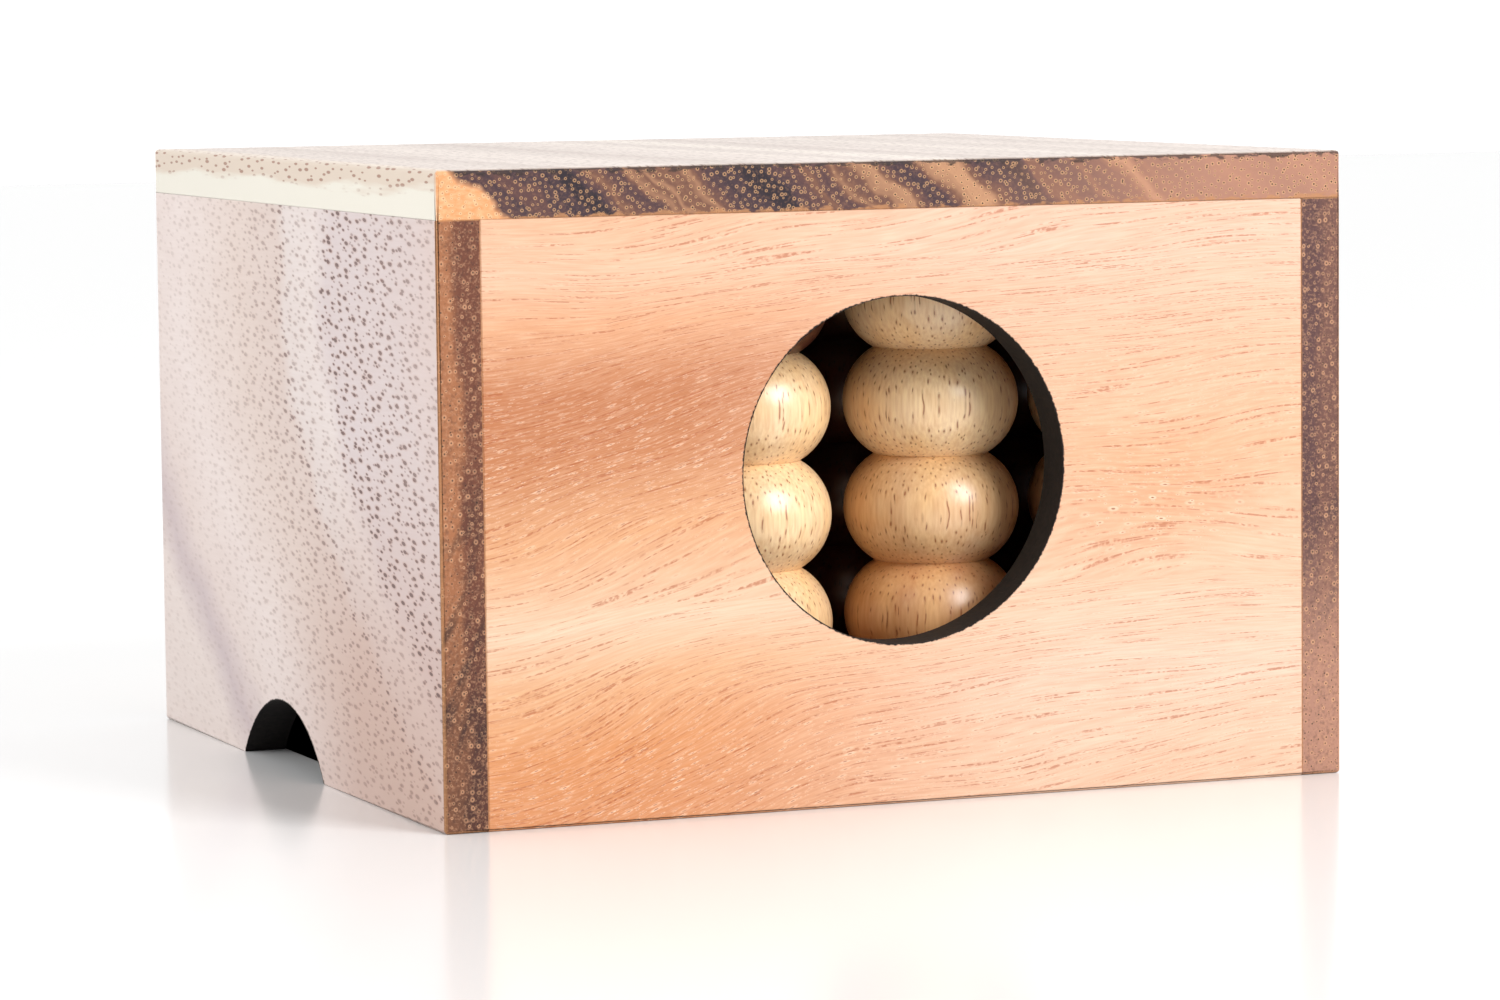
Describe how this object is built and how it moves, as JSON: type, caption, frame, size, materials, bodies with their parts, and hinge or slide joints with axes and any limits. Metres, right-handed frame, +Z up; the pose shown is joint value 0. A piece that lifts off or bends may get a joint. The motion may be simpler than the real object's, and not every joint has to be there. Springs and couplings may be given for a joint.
{
  "type": "boxed bead stacking game",
  "caption": "Square lift-off wooden box cover with a round window and finger notches, over a peg board whose upright rods hold stacks of turned wooden beads.",
  "frame": {"origin": "middle of the resting plane, under the centre of the peg board", "axes": "+X to the right along the front with the window, +Y away from that front, +Z up"},
  "size_m": [0.152, 0.152, 0.1],
  "materials": {
    "top_panel_wood": "satin",
    "front_panel_wood": "satin",
    "back_panel_wood": "satin",
    "end_panel_wood": "satin",
    "peg_board_wood": "satin",
    "rod_wood": "satin",
    "light_bead_wood": "satin",
    "dark_bead_wood": "satin"
  },
  "bodies": {
    "base": {"base_board": "peg_board_wood", "rods": "rod_wood"},
    "cover": {"cover_top": "top_panel_wood", "cover_front": "front_panel_wood", "cover_back": "back_panel_wood", "cover_left_end": "end_panel_wood", "cover_right_end": "end_panel_wood"},
    "lower_a1": {"beads_a1_lower": "light_bead_wood"},
    "third_a1": {"bead_a1_third": "light_bead_wood"},
    "top_a1": {"bead_a1_top": "light_bead_wood"},
    "lower_a2": {"beads_a2_lower": "dark_bead_wood"},
    "third_a2": {"bead_a2_third": "dark_bead_wood"},
    "top_a2": {"bead_a2_top": "dark_bead_wood"},
    "lower_a3": {"beads_a3_lower": "light_bead_wood"},
    "third_a3": {"bead_a3_third": "light_bead_wood"},
    "top_a3": {"bead_a3_top": "light_bead_wood"},
    "lower_a4": {"beads_a4_lower": "dark_bead_wood"},
    "third_a4": {"bead_a4_third": "dark_bead_wood"},
    "top_a4": {"bead_a4_top": "dark_bead_wood"},
    "lower_b1": {"beads_b1_lower": "light_bead_wood"},
    "third_b1": {"bead_b1_third": "light_bead_wood"},
    "top_b1": {"bead_b1_top": "light_bead_wood"},
    "lower_b2": {"beads_b2_lower": "dark_bead_wood"},
    "third_b2": {"bead_b2_third": "dark_bead_wood"},
    "top_b2": {"bead_b2_top": "dark_bead_wood"},
    "lower_b3": {"beads_b3_lower": "light_bead_wood"},
    "third_b3": {"bead_b3_third": "light_bead_wood"},
    "top_b3": {"bead_b3_top": "light_bead_wood"},
    "lower_b4": {"beads_b4_lower": "dark_bead_wood"},
    "third_b4": {"bead_b4_third": "dark_bead_wood"},
    "top_b4": {"bead_b4_top": "dark_bead_wood"},
    "lower_c1": {"beads_c1_lower": "light_bead_wood"},
    "third_c1": {"bead_c1_third": "light_bead_wood"},
    "top_c1": {"bead_c1_top": "light_bead_wood"},
    "lower_c2": {"beads_c2_lower": "dark_bead_wood"},
    "third_c2": {"bead_c2_third": "dark_bead_wood"},
    "top_c2": {"bead_c2_top": "dark_bead_wood"},
    "lower_c3": {"beads_c3_lower": "light_bead_wood"},
    "third_c3": {"bead_c3_third": "light_bead_wood"},
    "top_c3": {"bead_c3_top": "light_bead_wood"},
    "lower_c4": {"beads_c4_lower": "dark_bead_wood"},
    "third_c4": {"bead_c4_third": "dark_bead_wood"},
    "top_c4": {"bead_c4_top": "dark_bead_wood"},
    "lower_d1": {"beads_d1_lower": "light_bead_wood"},
    "third_d1": {"bead_d1_third": "light_bead_wood"},
    "top_d1": {"bead_d1_top": "light_bead_wood"},
    "lower_d2": {"beads_d2_lower": "dark_bead_wood"},
    "third_d2": {"bead_d2_third": "dark_bead_wood"},
    "top_d2": {"bead_d2_top": "dark_bead_wood"},
    "lower_d3": {"beads_d3_lower": "light_bead_wood"},
    "third_d3": {"bead_d3_third": "light_bead_wood"},
    "top_d3": {"bead_d3_top": "light_bead_wood"},
    "lower_d4": {"beads_d4_lower": "dark_bead_wood"},
    "third_d4": {"bead_d4_third": "dark_bead_wood"},
    "top_d4": {"bead_d4_top": "dark_bead_wood"}
  },
  "joints": [
    {"name": "cover_lift", "type": "slide", "parent": "base", "child": "cover", "axis": [0, 0, 1], "range_m": [0, 0.2]},
    {"name": "lower_a1_lift", "type": "slide", "parent": "base", "child": "lower_a1", "axis": [0, 0, 1], "range_m": [0, 0.08]},
    {"name": "third_a1_lift", "type": "slide", "parent": "lower_a1", "child": "third_a1", "axis": [0, 0, 1], "range_m": [0, 0.012]},
    {"name": "top_a1_lift", "type": "slide", "parent": "third_a1", "child": "top_a1", "axis": [0, 0, 1], "range_m": [0, 0.012]},
    {"name": "lower_a2_lift", "type": "slide", "parent": "base", "child": "lower_a2", "axis": [0, 0, 1], "range_m": [0, 0.08]},
    {"name": "third_a2_lift", "type": "slide", "parent": "lower_a2", "child": "third_a2", "axis": [0, 0, 1], "range_m": [0, 0.012]},
    {"name": "top_a2_lift", "type": "slide", "parent": "third_a2", "child": "top_a2", "axis": [0, 0, 1], "range_m": [0, 0.012]},
    {"name": "lower_a3_lift", "type": "slide", "parent": "base", "child": "lower_a3", "axis": [0, 0, 1], "range_m": [0, 0.08]},
    {"name": "third_a3_lift", "type": "slide", "parent": "lower_a3", "child": "third_a3", "axis": [0, 0, 1], "range_m": [0, 0.012]},
    {"name": "top_a3_lift", "type": "slide", "parent": "third_a3", "child": "top_a3", "axis": [0, 0, 1], "range_m": [0, 0.012]},
    {"name": "lower_a4_lift", "type": "slide", "parent": "base", "child": "lower_a4", "axis": [0, 0, 1], "range_m": [0, 0.08]},
    {"name": "third_a4_lift", "type": "slide", "parent": "lower_a4", "child": "third_a4", "axis": [0, 0, 1], "range_m": [0, 0.012]},
    {"name": "top_a4_lift", "type": "slide", "parent": "third_a4", "child": "top_a4", "axis": [0, 0, 1], "range_m": [0, 0.012]},
    {"name": "lower_b1_lift", "type": "slide", "parent": "base", "child": "lower_b1", "axis": [0, 0, 1], "range_m": [0, 0.08]},
    {"name": "third_b1_lift", "type": "slide", "parent": "lower_b1", "child": "third_b1", "axis": [0, 0, 1], "range_m": [0, 0.012]},
    {"name": "top_b1_lift", "type": "slide", "parent": "third_b1", "child": "top_b1", "axis": [0, 0, 1], "range_m": [0, 0.012]},
    {"name": "lower_b2_lift", "type": "slide", "parent": "base", "child": "lower_b2", "axis": [0, 0, 1], "range_m": [0, 0.08]},
    {"name": "third_b2_lift", "type": "slide", "parent": "lower_b2", "child": "third_b2", "axis": [0, 0, 1], "range_m": [0, 0.012]},
    {"name": "top_b2_lift", "type": "slide", "parent": "third_b2", "child": "top_b2", "axis": [0, 0, 1], "range_m": [0, 0.012]},
    {"name": "lower_b3_lift", "type": "slide", "parent": "base", "child": "lower_b3", "axis": [0, 0, 1], "range_m": [0, 0.08]},
    {"name": "third_b3_lift", "type": "slide", "parent": "lower_b3", "child": "third_b3", "axis": [0, 0, 1], "range_m": [0, 0.012]},
    {"name": "top_b3_lift", "type": "slide", "parent": "third_b3", "child": "top_b3", "axis": [0, 0, 1], "range_m": [0, 0.012]},
    {"name": "lower_b4_lift", "type": "slide", "parent": "base", "child": "lower_b4", "axis": [0, 0, 1], "range_m": [0, 0.08]},
    {"name": "third_b4_lift", "type": "slide", "parent": "lower_b4", "child": "third_b4", "axis": [0, 0, 1], "range_m": [0, 0.012]},
    {"name": "top_b4_lift", "type": "slide", "parent": "third_b4", "child": "top_b4", "axis": [0, 0, 1], "range_m": [0, 0.012]},
    {"name": "lower_c1_lift", "type": "slide", "parent": "base", "child": "lower_c1", "axis": [0, 0, 1], "range_m": [0, 0.08]},
    {"name": "third_c1_lift", "type": "slide", "parent": "lower_c1", "child": "third_c1", "axis": [0, 0, 1], "range_m": [0, 0.012]},
    {"name": "top_c1_lift", "type": "slide", "parent": "third_c1", "child": "top_c1", "axis": [0, 0, 1], "range_m": [0, 0.012]},
    {"name": "lower_c2_lift", "type": "slide", "parent": "base", "child": "lower_c2", "axis": [0, 0, 1], "range_m": [0, 0.08]},
    {"name": "third_c2_lift", "type": "slide", "parent": "lower_c2", "child": "third_c2", "axis": [0, 0, 1], "range_m": [0, 0.012]},
    {"name": "top_c2_lift", "type": "slide", "parent": "third_c2", "child": "top_c2", "axis": [0, 0, 1], "range_m": [0, 0.012]},
    {"name": "lower_c3_lift", "type": "slide", "parent": "base", "child": "lower_c3", "axis": [0, 0, 1], "range_m": [0, 0.08]},
    {"name": "third_c3_lift", "type": "slide", "parent": "lower_c3", "child": "third_c3", "axis": [0, 0, 1], "range_m": [0, 0.012]},
    {"name": "top_c3_lift", "type": "slide", "parent": "third_c3", "child": "top_c3", "axis": [0, 0, 1], "range_m": [0, 0.012]},
    {"name": "lower_c4_lift", "type": "slide", "parent": "base", "child": "lower_c4", "axis": [0, 0, 1], "range_m": [0, 0.08]},
    {"name": "third_c4_lift", "type": "slide", "parent": "lower_c4", "child": "third_c4", "axis": [0, 0, 1], "range_m": [0, 0.012]},
    {"name": "top_c4_lift", "type": "slide", "parent": "third_c4", "child": "top_c4", "axis": [0, 0, 1], "range_m": [0, 0.012]},
    {"name": "lower_d1_lift", "type": "slide", "parent": "base", "child": "lower_d1", "axis": [0, 0, 1], "range_m": [0, 0.08]},
    {"name": "third_d1_lift", "type": "slide", "parent": "lower_d1", "child": "third_d1", "axis": [0, 0, 1], "range_m": [0, 0.012]},
    {"name": "top_d1_lift", "type": "slide", "parent": "third_d1", "child": "top_d1", "axis": [0, 0, 1], "range_m": [0, 0.012]},
    {"name": "lower_d2_lift", "type": "slide", "parent": "base", "child": "lower_d2", "axis": [0, 0, 1], "range_m": [0, 0.08]},
    {"name": "third_d2_lift", "type": "slide", "parent": "lower_d2", "child": "third_d2", "axis": [0, 0, 1], "range_m": [0, 0.012]},
    {"name": "top_d2_lift", "type": "slide", "parent": "third_d2", "child": "top_d2", "axis": [0, 0, 1], "range_m": [0, 0.012]},
    {"name": "lower_d3_lift", "type": "slide", "parent": "base", "child": "lower_d3", "axis": [0, 0, 1], "range_m": [0, 0.08]},
    {"name": "third_d3_lift", "type": "slide", "parent": "lower_d3", "child": "third_d3", "axis": [0, 0, 1], "range_m": [0, 0.012]},
    {"name": "top_d3_lift", "type": "slide", "parent": "third_d3", "child": "top_d3", "axis": [0, 0, 1], "range_m": [0, 0.012]},
    {"name": "lower_d4_lift", "type": "slide", "parent": "base", "child": "lower_d4", "axis": [0, 0, 1], "range_m": [0, 0.08]},
    {"name": "third_d4_lift", "type": "slide", "parent": "lower_d4", "child": "third_d4", "axis": [0, 0, 1], "range_m": [0, 0.012]},
    {"name": "top_d4_lift", "type": "slide", "parent": "third_d4", "child": "top_d4", "axis": [0, 0, 1], "range_m": [0, 0.012]}
  ],
  "couplings": [
    {"joint": "lower_a1_lift", "follows": "cover_lift", "ratio": 0.4},
    {"joint": "third_a1_lift", "follows": "cover_lift", "ratio": 0.06},
    {"joint": "top_a1_lift", "follows": "cover_lift", "ratio": 0.06},
    {"joint": "lower_a2_lift", "follows": "cover_lift", "ratio": 0.4},
    {"joint": "third_a2_lift", "follows": "cover_lift", "ratio": 0.06},
    {"joint": "top_a2_lift", "follows": "cover_lift", "ratio": 0.06},
    {"joint": "lower_a3_lift", "follows": "cover_lift", "ratio": 0.4},
    {"joint": "third_a3_lift", "follows": "cover_lift", "ratio": 0.06},
    {"joint": "top_a3_lift", "follows": "cover_lift", "ratio": 0.06},
    {"joint": "lower_a4_lift", "follows": "cover_lift", "ratio": 0.4},
    {"joint": "third_a4_lift", "follows": "cover_lift", "ratio": 0.06},
    {"joint": "top_a4_lift", "follows": "cover_lift", "ratio": 0.06},
    {"joint": "lower_b1_lift", "follows": "cover_lift", "ratio": 0.4},
    {"joint": "third_b1_lift", "follows": "cover_lift", "ratio": 0.06},
    {"joint": "top_b1_lift", "follows": "cover_lift", "ratio": 0.06},
    {"joint": "lower_b2_lift", "follows": "cover_lift", "ratio": 0.4},
    {"joint": "third_b2_lift", "follows": "cover_lift", "ratio": 0.06},
    {"joint": "top_b2_lift", "follows": "cover_lift", "ratio": 0.06},
    {"joint": "lower_b3_lift", "follows": "cover_lift", "ratio": 0.4},
    {"joint": "third_b3_lift", "follows": "cover_lift", "ratio": 0.06},
    {"joint": "top_b3_lift", "follows": "cover_lift", "ratio": 0.06},
    {"joint": "lower_b4_lift", "follows": "cover_lift", "ratio": 0.4},
    {"joint": "third_b4_lift", "follows": "cover_lift", "ratio": 0.06},
    {"joint": "top_b4_lift", "follows": "cover_lift", "ratio": 0.06},
    {"joint": "lower_c1_lift", "follows": "cover_lift", "ratio": 0.4},
    {"joint": "third_c1_lift", "follows": "cover_lift", "ratio": 0.06},
    {"joint": "top_c1_lift", "follows": "cover_lift", "ratio": 0.06},
    {"joint": "lower_c2_lift", "follows": "cover_lift", "ratio": 0.4},
    {"joint": "third_c2_lift", "follows": "cover_lift", "ratio": 0.06},
    {"joint": "top_c2_lift", "follows": "cover_lift", "ratio": 0.06},
    {"joint": "lower_c3_lift", "follows": "cover_lift", "ratio": 0.4},
    {"joint": "third_c3_lift", "follows": "cover_lift", "ratio": 0.06},
    {"joint": "top_c3_lift", "follows": "cover_lift", "ratio": 0.06},
    {"joint": "lower_c4_lift", "follows": "cover_lift", "ratio": 0.4},
    {"joint": "third_c4_lift", "follows": "cover_lift", "ratio": 0.06},
    {"joint": "top_c4_lift", "follows": "cover_lift", "ratio": 0.06},
    {"joint": "lower_d1_lift", "follows": "cover_lift", "ratio": 0.4},
    {"joint": "third_d1_lift", "follows": "cover_lift", "ratio": 0.06},
    {"joint": "top_d1_lift", "follows": "cover_lift", "ratio": 0.06},
    {"joint": "lower_d2_lift", "follows": "cover_lift", "ratio": 0.4},
    {"joint": "third_d2_lift", "follows": "cover_lift", "ratio": 0.06},
    {"joint": "top_d2_lift", "follows": "cover_lift", "ratio": 0.06},
    {"joint": "lower_d3_lift", "follows": "cover_lift", "ratio": 0.4},
    {"joint": "third_d3_lift", "follows": "cover_lift", "ratio": 0.06},
    {"joint": "top_d3_lift", "follows": "cover_lift", "ratio": 0.06},
    {"joint": "lower_d4_lift", "follows": "cover_lift", "ratio": 0.4},
    {"joint": "third_d4_lift", "follows": "cover_lift", "ratio": 0.06},
    {"joint": "top_d4_lift", "follows": "cover_lift", "ratio": 0.06}
  ]
}
